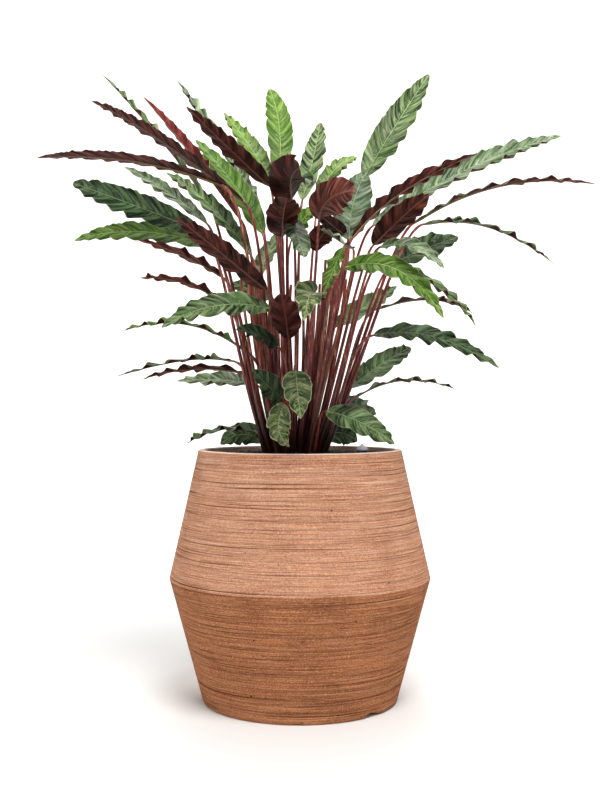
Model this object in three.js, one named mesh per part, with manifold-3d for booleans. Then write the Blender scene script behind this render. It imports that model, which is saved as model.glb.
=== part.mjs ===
// Potted wavestar calathea: a clump of long waved leaves on thin stalks, standing in plain holes in
// the dark granules of a double-cone clay pot, with a small water gauge beside it.
// Millimetres, +Z up, +X to the right, -Y is the front. The origin is the middle of the pot's
// flat underside.

import * as THREE from 'three';
import { mergeVertices } from 'three/addons/utils/BufferGeometryUtils.js';
import Module from 'manifold-3d';

const wasm = await Module();
wasm.setup();

// Pot: a cone that widens to a crisp belly, and a second cone that narrows to the rim
const potHeight = 383;
const bellyHeight = 188;
const baseRadius = 149;
const bellyRadius = 200;
const rimRadius = 156;
const wallAcross = 10; // wall thickness measured level
const floorThick = 12;
const baseRound = 6; // the bottom corner is eased by this much
const rimRound = 1.6;
const roundSides = 38; // of the pot and the granules alike, so that their flats lie together

// Granules: level round the crown and falling a little to the wall
const fit = 0.3; // gap between pieces that touch
const soilTop = 374;
const soilAtWall = 369;
const crownFlat = 92; // radius of the level middle

// Water gauge: a clear tube down to the pot's floor, its cap, and the float that shows inside
const gaugeX = 98;
const gaugeY = 40;
const tubeRadius = 6.9;
const tubeBore = 5.4;
const tubeTop = 379.2;
const capRadius = 8.8;
const capBottom = 375;
const capTop = 389;
const capWall = 1.6;
const floatRadius = 4.6;
const floatHeight = 38;
const rodRadius = 1.3;
const rodTop = 385.5;
const gaugeSides = 12;

// Crown: every stalk points away from one spot below the granules, so stalks fan out and never cross
const crownX = -12; // the crown stands a little left of the pot's middle
const footLevel = 372; // height at which a stalk's foot is placed
const fanDepth = 115; // how far below the feet the stalks would meet
const crownRadius = 48;
const footSpacing = 8.4;
const mateSpacing = 4; // two stalks of one shoot
const rootDepth = 25; // length of stalk below its foot
const holeGap = 0.45;
const holeDepth = 26.5;
const holeRise = 9;

// Leaves
const waveLength = 29; // along the blade, from one crest of the edge to the next
const fewestWaves = 4;
const edgeThick = 1; // blade thickness at its edge
const ribThick = 2.4; // and over the midrib at the base of the blade
const narrowest = 1.2; // least half width, at the tip
const stalkSteps = 5;
const tipEnd = 0.995;
const baseRise = 0.55; // the outline's power of the way from the base
const usualFall = 0.72; // and of the way to the tip; less is a blunter leaf, more a pointed one
const ownFall = {
  leaf_06: 0.8,
  leaf_07: 0.6,
  leaf_12: 0.5,
  leaf_13: 0.42,
  leaf_14: 0.45,
  leaf_25: 0.55,
  leaf_29: 0.98,
  leaf_30: 0.95,
  leaf_31: 0.95,
  leaf_40: 0.9,
  leaf_43: 0.56,
  shoot_04: 0.5,
};

const leafColours = {
  dark: 0x43211f,
  brown: 0x5a2e2a,
  red: 0x8a4038,
  deep: 0x23402a,
  mid: 0x4b7a42,
  pale: 0x8fb08c,
  bright: 0x6ba63a,
};

// One row for each leaf: its node, then the midrib's neck, middle and tip (x, y, z), the blade's width,
// how the upper face is turned at the neck (degrees: 0 looks to the front, 90 up, 180 to the back),
// how much more it turns by the tip, the V fold along the rib (degrees), the wave of the edge (mm)
// and its tone. Two rows of one shoot stand side by side and are one piece.
const leafRows = [
  // the upper left fan
  ['leaf_01', [-115, -60, 778], [-250, -75, 812], [-392, -60, 819], 42, 100, 0, 10, 1.8, 'dark'],
  ['leaf_02', [-85, -35, 758], [-214, -10, 858], [-324, 10, 923], 36, 112, 0, 8, 2.2, 'dark'],
  ['shoot_01', [-154, 100, 792], [-238, 115, 898], [-323, 100, 991], 32, 86, 0, 20, 4.5, 'mid'],
  ['shoot_01', [-153, 100, 748], [-224, 135, 808], [-296, 160, 852], 30, 42, 0, 10, 4, 'pale'],
  ['leaf_03', [-95, 65, 748], [-170, 90, 849], [-256, 95, 953], 34, 128, 0, 38, 3, 'red'],
  ['shoot_02', [-68, 100, 776], [-130, 145, 881], [-207, 150, 996], 44, 64, 0, 15, 5, 'pale'],
  ['shoot_02', [-49, 60, 619], [-77, 95, 636], [-112, 125, 654], 38, 28, 0, 10, 3, 'deep'],
  ['leaf_04', [-45, -10, 786], [-100, -75, 826], [-160, -150, 872], 36, 128, 0, 12, 4, 'dark'],
  ['leaf_05', [-58, 0, 716], [-104, 33, 797], [-169, 80, 880], 46, 35, 8, 8, 3.5, 'bright'],
  ['leaf_06', [-51, 100, 820], [-85, 160, 887], [-133, 220, 960], 44, 40, 0, 10, 4, 'bright'],
  ['leaf_07', [-36, 70, 817], [-34, 140, 910], [-52, 190, 992], 44, 10, 0, 8, 3, 'bright'],
  ['leaf_08', [4, 90, 784], [23, 150, 867], [35, 190, 935], 42, 28, 0, 8, 3.5, 'mid'],
  // the upper right and the middle
  ['leaf_09', [105, 100, 823], [157, 130, 912], [217, 150, 1006], 54, 22, -6, 10, 4.5, 'mid'],
  ['leaf_10', [31, 130, 791], [59, 180, 851], [101, 240, 886], 38, 40, 0, 10, 4, 'bright'],
  ['shoot_03', [76, 0, 706], [84, 30, 768], [106, 65, 824], 58, 6, 0, 8, 4, 'pale'],
  ['shoot_03', [71, 10, 714], [51, -20, 724], [28, -60, 736], 26, 150, 0, 10, 3, 'dark'],
  ['shoot_04', [-26, -60, 702], [-24, -120, 722], [-18, -180, 738], 50, 160, 0, 12, 3.5, 'dark'],
  ['shoot_04', [-16, -60, 736], [-4, -110, 696], [6, -150, 660], 34, 25, 0, 10, 3.5, 'pale'],
  ['leaf_11', [-13, 0, 706], [2, -10, 732], [22, -18, 752], 34, 30, 0, 10, 3.5, 'bright'],
  ['leaf_12', [26, -12, 687], [30, -30, 703], [42, -50, 716], 36, 165, 0, 12, 4, 'dark'],
  ['leaf_13', [28, -80, 724], [40, -155, 740], [72, -235, 738], 56, 176, 0, 16, 4, 'brown'],
  ['leaf_14', [-12, -70, 756], [-13, -130, 773], [-1, -190, 777], 66, 160, 0, 14, 4, 'dark'],
  // the right
  ['leaf_15', [80, -25, 705], [157, -10, 778], [274, 0, 839], 30, 122, 4, 20, 5.5, 'dark'],
  ['leaf_16', [116, 60, 737], [267, 80, 830], [420, 70, 883], 52, 54, -8, 14, 5.5, 'pale'],
  ['shoot_05', [176, 20, 734], [308, 10, 790], [453, -10, 790], 32, 80, 14, 14, 4.5, 'dark'],
  ['shoot_05', [83, 10, 462], [164, 30, 490], [253, 40, 473], 23, 86, 0, 10, 3.8, 'mid'],
  ['leaf_17', [110, -50, 691], [144, -110, 720], [179, -170, 745], 42, 150, 0, 12, 4.5, 'dark'],
  ['leaf_18', [188, -20, 727], [282, -45, 719], [379, -60, 661], 30, 72, 4, 12, 4.5, 'deep'],
  ['leaf_19', [118, -90, 683], [158, -150, 674], [196, -200, 638], 34, 45, 0, 14, 4.5, 'pale'],
  ['leaf_20', [148, 40, 675], [199, 60, 700], [256, 80, 722], 54, 38, 0, 14, 5, 'deep'],
  ['shoot_06', [65, -100, 651], [137, -150, 642], [197, -190, 571], 38, 42, 8, 12, 4, 'bright'],
  ['shoot_06', [62, -130, 677], [48, -155, 644], [34, -160, 609], 26, 50, -20, 16, 4, 'bright'],
  ['leaf_21', [129, -40, 667], [204, -70, 626], [258, -90, 566], 27, 60, 6, 14, 4, 'mid'],
  ['leaf_22', [122, 60, 604], [210, 70, 620], [280, 60, 595], 25, 88, 0, 14, 3.8, 'mid'],
  ['leaf_23', [59, 75, 578], [108, 110, 613], [162, 150, 650], 40, 38, 0, 12, 4.5, 'mid'],
  ['leaf_24', [110, -50, 556], [195, -80, 552], [288, -110, 505], 40, 48, 4, 10, 5, 'deep'],
  ['leaf_25', [80, 50, 478], [128, 95, 514], [184, 140, 547], 42, 34, 0, 10, 4.5, 'mid'],
  ['leaf_26', [70, 70, 454], [98, 110, 449], [128, 150, 436], 34, 45, 0, 14, 4.5, 'mid'],
  ['leaf_27', [40, -45, 442], [89, -75, 426], [140, -70, 394], 42, 30, 0, 8, 4, 'mid'],
  ['leaf_28', [30, 60, 393], [61, 90, 406], [94, 110, 391], 48, 30, 0, 8, 3.5, 'deep'],
  // the front and the middle, low down
  ['leaf_29', [-6, -165, 500], [-3, -182, 468], [1, -190, 433], 42, 8, 0, 8, 3.5, 'mid'],
  ['leaf_30', [-23, -80, 453], [-31, -108, 418], [-15, -125, 392], 36, 15, 0, 12, 4, 'pale'],
  ['leaf_31', [19, -120, 611], [13, -190, 602], [5, -250, 563], 46, 5, 0, 12, 4.5, 'mid'],
  ['leaf_32', [-17, -60, 550], [-21, -110, 580], [-26, -165, 608], 44, 172, 0, 8, 3, 'dark'],
  ['leaf_33', [-44, -70, 594], [-121, -120, 594], [-194, -160, 560], 42, 28, 14, 8, 4.5, 'mid'],
  // the left
  ['leaf_34', [-80, -19, 532], [-173, -27, 574], [-272, -50, 560], 24, 80, 0, 12, 3.8, 'bright'],
  ['leaf_35', [-105, 20, 520], [-178, 15, 521], [-285, -10, 494], 24, 82, 0, 12, 4.2, 'mid'],
  ['leaf_36', [-72, 38, 497], [-158, 42, 508], [-249, 30, 491], 27, 104, 0, 14, 3.8, 'dark'],
  ['leaf_37', [-70, 80, 483], [-125, 120, 492], [-206, 150, 491], 38, 52, 0, 14, 5, 'pale'],
  ['leaf_38', [-60, 25, 404], [-116, 20, 414], [-177, 5, 391], 25, 78, 0, 10, 4.2, 'mid'],
  ['leaf_39', [-60, 50, 391], [-92, 60, 404], [-127, 60, 388], 44, 35, 0, 10, 4, 'deep'],
  ['leaf_40', [-27, -68, 462], [-46, -105, 479], [-69, -135, 503], 42, 35, 0, 10, 3.5, 'deep'],
  ['leaf_41', [-32, -72, 537], [-61, -110, 553], [-90, -145, 558], 32, 45, 0, 12, 4, 'deep'],
  ['leaf_42', [-50, -60, 623], [-116, -100, 674], [-175, -140, 718], 40, 140, 0, 10, 4.5, 'dark'],
  ['leaf_43', [-149, -55, 711], [-233, -90, 740], [-326, -120, 770], 48, 28, 4, 8, 5, 'deep'],
  ['leaf_44', [-140, -10, 695], [-242, -30, 714], [-340, -40, 699], 42, 38, 4, 8, 3, 'bright'],
  ['leaf_45', [-77, 15, 685], [-142, 50, 767], [-217, 90, 828], 38, 46, 0, 12, 5, 'mid'],
  ['leaf_46', [-118, -21, 646], [-173, -58, 674], [-238, -90, 693], 27, 112, 0, 14, 3.5, 'dark'],
  ['leaf_47', [-113, -50, 604], [-169, -90, 630], [-230, -120, 634], 24, 108, 0, 14, 3.5, 'dark'],
  ['leaf_48', [-62, 120, 667], [-55, 170, 707], [-32, 215, 749], 36, 30, 0, 10, 4, 'mid'],
  ['leaf_49', [78, -55, 686], [56, -100, 691], [29, -140, 701], 28, 70, 0, 14, 4, 'pale'],
];

const toFront = new THREE.Vector3(0, -1, 0);
const radians = THREE.MathUtils.degToRad;

// A closed solid from closed geometry: shared corners are joined and empty triangles on the axis dropped
function solidOf(geometry) {
  const plain = geometry.clone();
  plain.deleteAttribute('normal');
  plain.deleteAttribute('uv');
  const joined = mergeVertices(plain, 1e-3);
  const corners = joined.index.array;
  const kept = [];
  for (let i = 0; i < corners.length; i += 3) {
    const [a, b, c] = corners.slice(i, i + 3);
    if (a !== b && b !== c && c !== a) kept.push(a, b, c);
  }
  const vertProperties = Float32Array.from(joined.attributes.position.array);
  return new wasm.Manifold(new wasm.Mesh({ numProp: 3, vertProperties, triVerts: Uint32Array.from(kept) }));
}

function geometryOf(solid) {
  const mesh = solid.getMesh();
  const geometry = new THREE.BufferGeometry();
  geometry.setAttribute('position', new THREE.BufferAttribute(new Float32Array(mesh.vertProperties), 3));
  geometry.setIndex(new THREE.BufferAttribute(new Uint32Array(mesh.triVerts), 1));
  geometry.computeVertexNormals();
  return geometry;
}

// A turned piece: [radius, height] points from the axis at the bottom, round the outside, to the top
function turned(outline, sides) {
  const geometry = new THREE.LatheGeometry(outline.map(([r, z]) => new THREE.Vector2(r, z)), sides);
  return solidOf(geometry.rotateX(Math.PI / 2));
}

function named(name, solid, colour, roughness) {
  const material = new THREE.MeshStandardMaterial({ color: colour, roughness, metalness: 0 });
  const mesh = new THREE.Mesh(geometryOf(solid), material);
  mesh.name = name;
  return mesh;
}

// Radius of the pot's outside at a height
function potRadius(z) {
  if (z < bellyHeight) return THREE.MathUtils.mapLinear(z, 0, bellyHeight, baseRadius, bellyRadius);
  return THREE.MathUtils.mapLinear(z, bellyHeight, potHeight, bellyRadius, rimRadius);
}

function makePot() {
  const rimInside = rimRadius - wallAcross;
  return turned([
    [0, 0],
    [baseRadius - baseRound, 0],
    [potRadius(baseRound), baseRound],
    [bellyRadius, bellyHeight],
    [potRadius(potHeight - rimRound), potHeight - rimRound],
    [rimRadius - rimRound, potHeight],
    [rimInside + rimRound, potHeight],
    [rimInside, potHeight - rimRound],
    [bellyRadius - wallAcross, bellyHeight],
    [potRadius(floorThick) - wallAcross, floorThick],
    [0, floorThick],
  ], roundSides);
}

// The granules fill the pot; each stalk and the gauge stand in a plain hole
function makeSoil(leaves) {
  const inside = (z) => potRadius(z) - wallAcross - 1.5 * fit;
  const bottom = floorThick + fit;
  const body = turned([
    [0, bottom],
    [inside(bottom), bottom],
    [inside(bellyHeight), bellyHeight],
    [inside(soilAtWall), soilAtWall],
    [crownFlat, soilTop],
    [0, soilTop],
  ], roundSides);
  const gaugeHole = turned([
    [0, bottom - fit],
    [tubeRadius + 1.5 * fit, bottom - fit],
    [tubeRadius + 1.5 * fit, soilTop + fit],
    [0, soilTop + fit],
  ], gaugeSides).translate([gaugeX, gaugeY, 0]);
  const holes = leaves.map((leaf) => leaf.hole());
  return body.subtract(wasm.Manifold.union([gaugeHole, ...holes]));
}

function makeGaugeTube() {
  const bottom = floorThick + fit;
  return turned([
    [tubeBore, bottom],
    [tubeRadius, bottom],
    [tubeRadius, tubeTop],
    [tubeBore, tubeTop],
    [tubeBore, bottom],
  ], gaugeSides);
}

// A domed cap whose skirt goes over the tube
function makeGaugeCap() {
  const rise = capTop - capBottom;
  const dome = (radius, top) => [
    [radius, capBottom],
    [radius, capBottom + 0.36 * rise],
    [0.86 * radius, top - 0.28 * rise],
    [0.52 * radius, top - 0.07 * rise],
    [0, top],
  ];
  const inner = dome(capRadius - capWall, capTop - capWall).reverse();
  return turned([...inner, ...dome(capRadius, capTop)], gaugeSides);
}

function makeGaugeFloat() {
  const bottom = floorThick + fit;
  return turned([
    [0, bottom],
    [floatRadius, bottom],
    [floatRadius, bottom + floatHeight],
    [rodRadius, bottom + floatHeight + floatRadius],
    [rodRadius, rodTop],
    [0, rodTop],
  ], gaugeSides);
}

// Feet of the stalks, from the crown's middle: each lies on the line from the spot below the crown to
// its neck, drawn in to the crown, and then near neighbours are pushed apart while the two stalks of a
// shoot stay close
function placeFeet(rows) {
  const feet = rows.map(([, neck]) => {
    const foot = new THREE.Vector2(neck[0] - crownX, neck[1]);
    foot.multiplyScalar(fanDepth / (neck[2] - footLevel + fanDepth));
    return foot.clampLength(0, crownRadius);
  });
  for (let round = 0; round < 80; round += 1) {
    const moves = feet.map(() => new THREE.Vector2());
    feet.forEach((foot, i) => feet.forEach((other, j) => {
      if (i === j) return;
      const away = foot.clone().sub(other);
      const apart = away.length();
      const mates = rows[i][0] === rows[j][0];
      const push = mates ? mateSpacing - apart : Math.max(0, footSpacing - apart);
      moves[i].addScaledVector(away, (0.25 * push) / apart);
    }));
    feet.forEach((foot, i) => foot.add(moves[i]));
  }
  return feet;
}

// Width of the blade along the rib, 1 at its widest: a power of the way from the base times a power
// of the way to the tip, so the base is round and the tip is drawn out
function bladeOutline(t, fall) {
  const widest = baseRise / (baseRise + fall);
  const peak = widest ** baseRise * (1 - widest) ** fall;
  return (Math.max(t, 0) ** baseRise * Math.max(1 - t, 0) ** fall) / peak;
}

class Leaf {
  constructor([node, neck, middle, tip, width, face, twist, fold, wave, tone], foot) {
    Object.assign(this, { node, width, face, twist, fold, wave, tone });
    this.neck = new THREE.Vector3(...neck);
    this.tip = new THREE.Vector3(...tip);
    const bow = new THREE.Vector3(...middle).multiplyScalar(2);
    bow.addScaledVector(this.neck, -0.5).addScaledVector(this.tip, -0.5);
    this.rib = new THREE.QuadraticBezierCurve3(this.neck, bow, this.tip);
    this.length = this.rib.getLength();
    this.fall = ownFall[node] ?? usualFall;
    this.waves = Math.max(fewestWaves, Math.round(this.length / waveLength));
    this.lean = Math.min(0.17, (0.65 * width) / this.length); // how far the side veins run forward
    this.upSide = tip[0] > neck[0] ? -1 : 1;
    this.footRadius = 2.4 + 0.9 * Math.min(1, this.length / 250);
    this.neckRadius = 0.62 * this.footRadius;
    this.foot = new THREE.Vector3(crownX + foot.x, foot.y, footLevel);
    this.out = new THREE.Vector3(foot.x / fanDepth, foot.y / fanDepth, 1);
    const span = this.neck.distanceTo(this.foot);
    const rising = this.out.clone().normalize();
    const into = bow.clone().sub(this.neck).normalize();
    this.stalk = new THREE.CubicBezierCurve3(
      this.foot,
      this.foot.clone().addScaledVector(rising, 0.5 * span),
      this.neck.clone().addScaledVector(into, -Math.min(0.25 * span, 40)),
      this.neck,
    );
  }

  // The blade's directions on its rib: along it, out of its upper face, and across it
  frame(t) {
    const along = this.rib.getTangent(t);
    const ahead = toFront.clone().addScaledVector(along, -toFront.dot(along)).normalize();
    const up = along.clone().cross(ahead).multiplyScalar(this.upSide);
    const turn = radians(this.face + this.twist * t);
    const normal = ahead.multiplyScalar(Math.cos(turn)).addScaledVector(up, Math.sin(turn));
    return { along, normal, across: normal.clone().cross(along) };
  }

  // A point of the blade: u runs from base to tip, side is -1, 0 or 1 for an edge, the rib or the other
  // edge. The edge is carried forward of the rib as the side veins are, folded up, and waved as a sine.
  bladePoint(u, side) {
    const open = 4 * u * (1 - u);
    const t = Math.min(1, u + (side ? this.lean * open : 0));
    const { normal, across } = this.frame(t);
    const phase = 2 * Math.PI * this.waves * u + (side < 0 ? 0.9 : 0);
    const scallop = 1 + (side ? 0.06 * open * Math.cos(phase) : 0);
    const outline = (this.width / 2) * bladeOutline(t, this.fall);
    const half = Math.max(outline, narrowest) * side * scallop;
    const fade = Math.min(1, 6 * u) * Math.min(1, 4.5 * (1 - u));
    const rise = Math.abs(half / scallop) * Math.sin(radians(this.fold));
    const wave = side ? this.wave * fade * Math.sin(phase) : 0;
    const point = this.rib.getPoint(t).addScaledVector(across, half * Math.cos(radians(this.fold)));
    return { point: point.addScaledVector(normal, rise + wave), normal };
  }

  // Six corners of the blade's section: the upper face from edge to edge, then the lower face back
  bladeRing(u) {
    const edges = [-1, 0, 1].map((side) => this.bladePoint(u, side));
    const keel = THREE.MathUtils.lerp(ribThick, edgeThick, u) / 2;
    const upper = edges.map(({ point, normal }, i) => {
      const lift = i === 1 ? keel / 2 : edgeThick / 2;
      return point.clone().addScaledVector(normal, lift);
    });
    const lower = edges.map(({ point, normal }, i) => {
      const drop = i === 1 ? keel : edgeThick / 2;
      return point.clone().addScaledVector(normal, -drop);
    });
    return [...upper, ...lower.reverse()];
  }

  // The stalk's directions, carried down from the neck to the foot so that the tube doesn't twist
  stalkFrames() {
    let { normal } = this.frame(0);
    const frames = [];
    for (let step = stalkSteps - 1; step >= 0; step -= 1) {
      const t = step / stalkSteps;
      const along = this.stalk.getTangent(t);
      normal = normal.clone().addScaledVector(along, -normal.dot(along)).normalize();
      frames.unshift({ t, centre: this.stalk.getPoint(t), normal, across: normal.clone().cross(along) });
    }
    return frames;
  }

  // The whole leaf as one sweep: root, stalk, neck and waved blade
  solid() {
    const frames = this.stalkFrames();
    const rings = frames.map((frame) => {
      return hexagon(frame, THREE.MathUtils.lerp(this.footRadius, this.neckRadius, frame.t));
    });
    const root = this.out.clone().multiplyScalar(-rootDepth);
    rings.unshift(rings[0].map((corner) => corner.clone().add(root)));
    rings.push(hexagon({ centre: this.neck, ...this.frame(0) }, this.neckRadius));
    const stations = 2 * this.waves;
    for (let k = 0; k < stations; k += 1) rings.push(this.bladeRing((k + 0.5) / stations));
    rings.push(this.bladeRing(tipEnd));
    return skin(rings);
  }

  // The plain hole that the root stands in
  hole() {
    const ring = hexagon(this.stalkFrames()[0], this.footRadius + holeGap);
    const shifted = (by) => ring.map((corner) => corner.clone().addScaledVector(this.out, by));
    return skin([shifted(-holeDepth), shifted(holeRise)]);
  }
}

// Six corners round a stalk, in the order of the blade's section
function hexagon({ centre, normal, across }, radius) {
  return [150, 90, 30, -30, -90, -150].map((degrees) => {
    const corner = centre.clone().addScaledVector(across, radius * Math.cos(radians(degrees)));
    return corner.addScaledVector(normal, radius * Math.sin(radians(degrees)));
  });
}

// Closed skin over rings of six corners. The upper and the lower face are split along the same
// diagonals, so that the two faces of a thin waved blade never cross.
function skin(rings) {
  const sides = 6;
  const falling = [true, false, true, true, false, true];
  const faces = [];
  for (let i = 0; i + 1 < rings.length; i += 1) {
    for (let k = 0; k < sides; k += 1) {
      const a = i * sides + k;
      const b = i * sides + ((k + 1) % sides);
      const c = a + sides;
      const d = b + sides;
      if (falling[k]) faces.push(a, d, b, a, c, d);
      else faces.push(a, c, b, b, c, d);
    }
  }
  const last = (rings.length - 1) * sides;
  for (const [a, b, c] of [[0, 1, 5], [1, 4, 5], [1, 2, 4], [2, 3, 4]]) {
    faces.push(a, b, c);
    faces.push(last + a, last + c, last + b);
  }
  const corners = rings.flat().flatMap((corner) => corner.toArray());
  const mesh = new wasm.Mesh({
    numProp: 3,
    vertProperties: Float32Array.from(corners),
    triVerts: Uint32Array.from(faces),
  });
  return new wasm.Manifold(mesh);
}

const feet = placeFeet(leafRows);
const leaves = leafRows.map((row, i) => new Leaf(row, feet[i]));

const plant = new THREE.Group();
plant.add(named('pot', makePot(), 0xc48a66, 0.85));
plant.add(named('soil', makeSoil(leaves), 0x2a211c, 0.95));

const gauge = new THREE.Group();
gauge.position.set(gaugeX, gaugeY, 0);
gauge.add(named('gauge_tube', makeGaugeTube(), 0xc9cdd0, 0.3));
gauge.add(named('gauge_cap', makeGaugeCap(), 0x9aa0a6, 0.3));
gauge.add(named('gauge_float', makeGaugeFloat(), 0xb23327, 0.5));
plant.add(gauge);

for (const node of new Set(leaves.map((leaf) => leaf.node))) {
  const members = leaves.filter((leaf) => leaf.node === node);
  const solid = wasm.Manifold.union(members.map((leaf) => leaf.solid()));
  plant.add(named(node, solid, leafColours[members[0].tone], 0.55));
}

export default plant;
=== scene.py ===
# Potted prayer plant with waved leaves: the looks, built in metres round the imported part
import math
from itertools import product

import bpy
import numpy as np
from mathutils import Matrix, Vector


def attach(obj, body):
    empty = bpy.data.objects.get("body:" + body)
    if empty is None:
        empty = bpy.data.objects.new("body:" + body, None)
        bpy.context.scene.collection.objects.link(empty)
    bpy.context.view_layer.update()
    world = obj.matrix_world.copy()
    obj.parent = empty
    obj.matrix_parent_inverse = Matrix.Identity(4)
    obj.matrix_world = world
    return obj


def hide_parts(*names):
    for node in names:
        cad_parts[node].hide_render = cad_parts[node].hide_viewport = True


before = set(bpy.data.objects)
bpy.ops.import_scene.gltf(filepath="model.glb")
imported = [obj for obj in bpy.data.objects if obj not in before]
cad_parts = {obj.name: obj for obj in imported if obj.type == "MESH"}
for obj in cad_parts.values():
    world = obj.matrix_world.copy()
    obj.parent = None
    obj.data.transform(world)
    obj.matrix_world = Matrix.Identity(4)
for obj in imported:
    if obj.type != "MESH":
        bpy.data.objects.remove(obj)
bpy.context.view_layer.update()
print("frame loaded,", len(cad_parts), "nodes")

mm = 0.001
rng = np.random.default_rng(24)


# camera: level with the middle of the leaves, a normal lens on a 36 mm long side
view = {"place": (0.0, -1.714, 0.459), "lens": 50.0, "sensor": 36.0}


def makeCamera():
    data = bpy.data.cameras.new("camera")
    data.lens = view["lens"]
    data.sensor_width = view["sensor"]
    camera = bpy.data.objects.new("camera", data)
    camera.location = view["place"]
    camera.rotation_euler = (math.radians(90), 0, 0)
    bpy.context.scene.collection.objects.link(camera)
    bpy.context.scene.camera = camera


# colours are written as sRGB hex and turned to linear here
def colour(code):
    parts = [int(code[i:i + 2], 16) / 255 for i in (1, 3, 5)]
    linear = [c / 12.92 if c <= 0.04045 else ((c + 0.055) / 1.055) ** 2.4 for c in parts]
    return (*linear, 1.0)


# fills sockets and properties of a node: a socket is linked, a hex colour made linear, the rest set as is
def fillNode(tree, node, given):
    for key, value in given.items():
        if isinstance(value, bpy.types.NodeSocket):
            tree.links.new(value, node.inputs[key])
        elif isinstance(key, str) and key not in node.inputs:
            setattr(node, key, value)
        else:
            node.inputs[key].default_value = colour(value) if isinstance(value, str) else value


# adds one node and gives one of its outputs: values go to its sockets in order, settings by name
def addNode(tree, kind, *values, out=0, **settings):
    node = tree.nodes.new("ShaderNode" + kind)
    fillNode(tree, node, {**settings, **dict(enumerate(values))})
    return node.outputs[out]


def newMaterial(name):
    material = bpy.data.materials.new(name)
    material.use_nodes = True
    tree = material.node_tree
    return material, tree, tree.nodes["Principled BSDF"]


# how much of a layer shows: its share where each value has gone from its low to its high, smooth between
def shownWhere(tree, share, *steps):
    for value, low, high in steps:
        share = addNode(tree, "MapRange", value, low, high, 0.0, share, interpolation_type="SMOOTHSTEP")
    return share


# lays colours over a tint in turn: a layer is its share, its colour and the steps that say where it shows
def layered(tree, tint, *layers):
    for share, code, *steps in layers:
        shown = shownWhere(tree, share, *steps)
        mixed = tree.nodes.new("ShaderNodeMix")
        fillNode(tree, mixed, {"data_type": "RGBA", 0: shown, 6: tint, 7: code})
        tint = mixed.outputs[2]
    return tint


# noise drawn out along an upright thing or round it: the first length is level, the second upwards
def drawnNoise(tree, place, lengths, detail, roughness=0.6):
    scale = (1 / lengths[0], 1 / lengths[0], 1 / lengths[1])
    stretched = addNode(tree, "Mapping", Vector=place, Scale=scale)
    return addNode(tree, "TexNoise", stretched, Scale=1.0, Detail=detail, Roughness=roughness)


# how far a noise is from its middle value, which it crosses along thin lines
def offMiddle(tree, value):
    apart = addNode(tree, "Math", value, 0.5, operation="SUBTRACT")
    return addNode(tree, "Math", apart, operation="ABSOLUTE")


# puts points and faces into a mesh object that rides on the plant's one body
def makePiece(name, points, faces, materials, faceMaterial=0, values=None, sharp=50):
    mesh = bpy.data.meshes.new(name)
    mesh.from_pydata(points.tolist(), [], faces)
    mesh.polygons.foreach_set("material_index", np.broadcast_to(faceMaterial, len(faces)).astype(np.int32))
    mesh.polygons.foreach_set("use_smooth", np.ones(len(faces), bool))
    for key, value in (values or {}).items():
        kind = "FLOAT_VECTOR" if value.ndim == 2 else "FLOAT"
        data = mesh.attributes.new(key, kind, "POINT").data
        data.foreach_set("vector" if value.ndim == 2 else "value", value.astype(np.float32).ravel())
    mesh.update()
    mesh.set_sharp_from_angle(angle=math.radians(sharp))
    for material in materials:
        mesh.materials.append(material)
    piece = bpy.data.objects.new(name, mesh)
    bpy.context.scene.collection.objects.link(piece)
    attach(piece, "root")
    return piece


# faces of a grid of rows by columns whose columns close on themselves
def tubeFaces(rows, columns, start=0):
    i, j = np.meshgrid(np.arange(rows - 1), np.arange(columns), indexing="ij")
    a = start + i * columns + j
    b = start + i * columns + (j + 1) % columns
    return np.stack([a, b, b + columns, a + columns], -1).reshape(-1, 4)


# angles of the columns, evenly round
def fullTurn(columns):
    return 2 * math.pi * np.arange(columns) / columns


# rings of an outline of radii and heights turned about the vertical
def turnedSurface(radius, height, columns):
    angle = fullTurn(columns)
    x = radius[:, None] * np.cos(angle)
    y = radius[:, None] * np.sin(angle)
    z = np.broadcast_to(height[:, None], x.shape)
    return np.stack([x, y, z], -1)


# closes the first and the last ring of a tube with one middle point each
def closedTube(rings, start=0):
    rows, columns = rings.shape[:2]
    ends = np.stack([rings[0].mean(0), rings[-1].mean(0)])
    points = np.concatenate([rings.reshape(-1, 3), ends])
    j = np.arange(columns)
    k = (j + 1) % columns
    first, last = rows * columns, rows * columns + 1
    low = np.stack([k, j, np.full(columns, first)], -1)
    high = np.stack([(rows - 1) * columns + j, (rows - 1) * columns + k, np.full(columns, last)], -1)
    faces = (tubeFaces(rows, columns) + start).tolist()
    faces += (low + start).tolist() + (high + start).tolist()
    return points, faces


# Clay: fired terracotta, thrown and combed with a stiff brush. It gives the eye a dry matt pinkish buff
# with level scratches all over, a painted highlight on the ridges between them and painted shade in them
# and in the deeper grooves, darker and browner under the belly (partly its own colour, partly painted shade
# of the lower half, which faces down), with sandy grain and a few dark pits. The top of the rim carries a
# painted highlight and the inside wall is painted lighter as painted light. The finest real scratches are
# 0.3 mm apart. So that they show, the comb is drawn at 1.5 mm and its single lines at about 3 mm.
clay = {
    "buff": "#d49a78", "pale": "#fdceb0", "brown": "#a05c3e",
    "shadedLowBuff": "#b8764f", "shadedLowPale": "#eaab80", "shadedLowBrown": "#683722",
    "grooveShade": "#4a2617", "pit": "#33201a", "rim": "#fde3d0", "rimHighlightFrom": 381.2 * mm,
    "edgeWander": 5 * mm, "edgeBlur": 1.5 * mm, "patch": 55 * mm, "grain": 1.7 * mm,
    "comb": (60 * mm, 1.5 * mm), "fade": (90 * mm, 3 * mm), "scratch": (900 * mm, 3.2 * mm),
    "ridge": (900 * mm, 2.8 * mm), "line": 0.05, "pitCell": 34 * mm, "pitSize": 0.045, "relief": 1.1 * mm,
}


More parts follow.
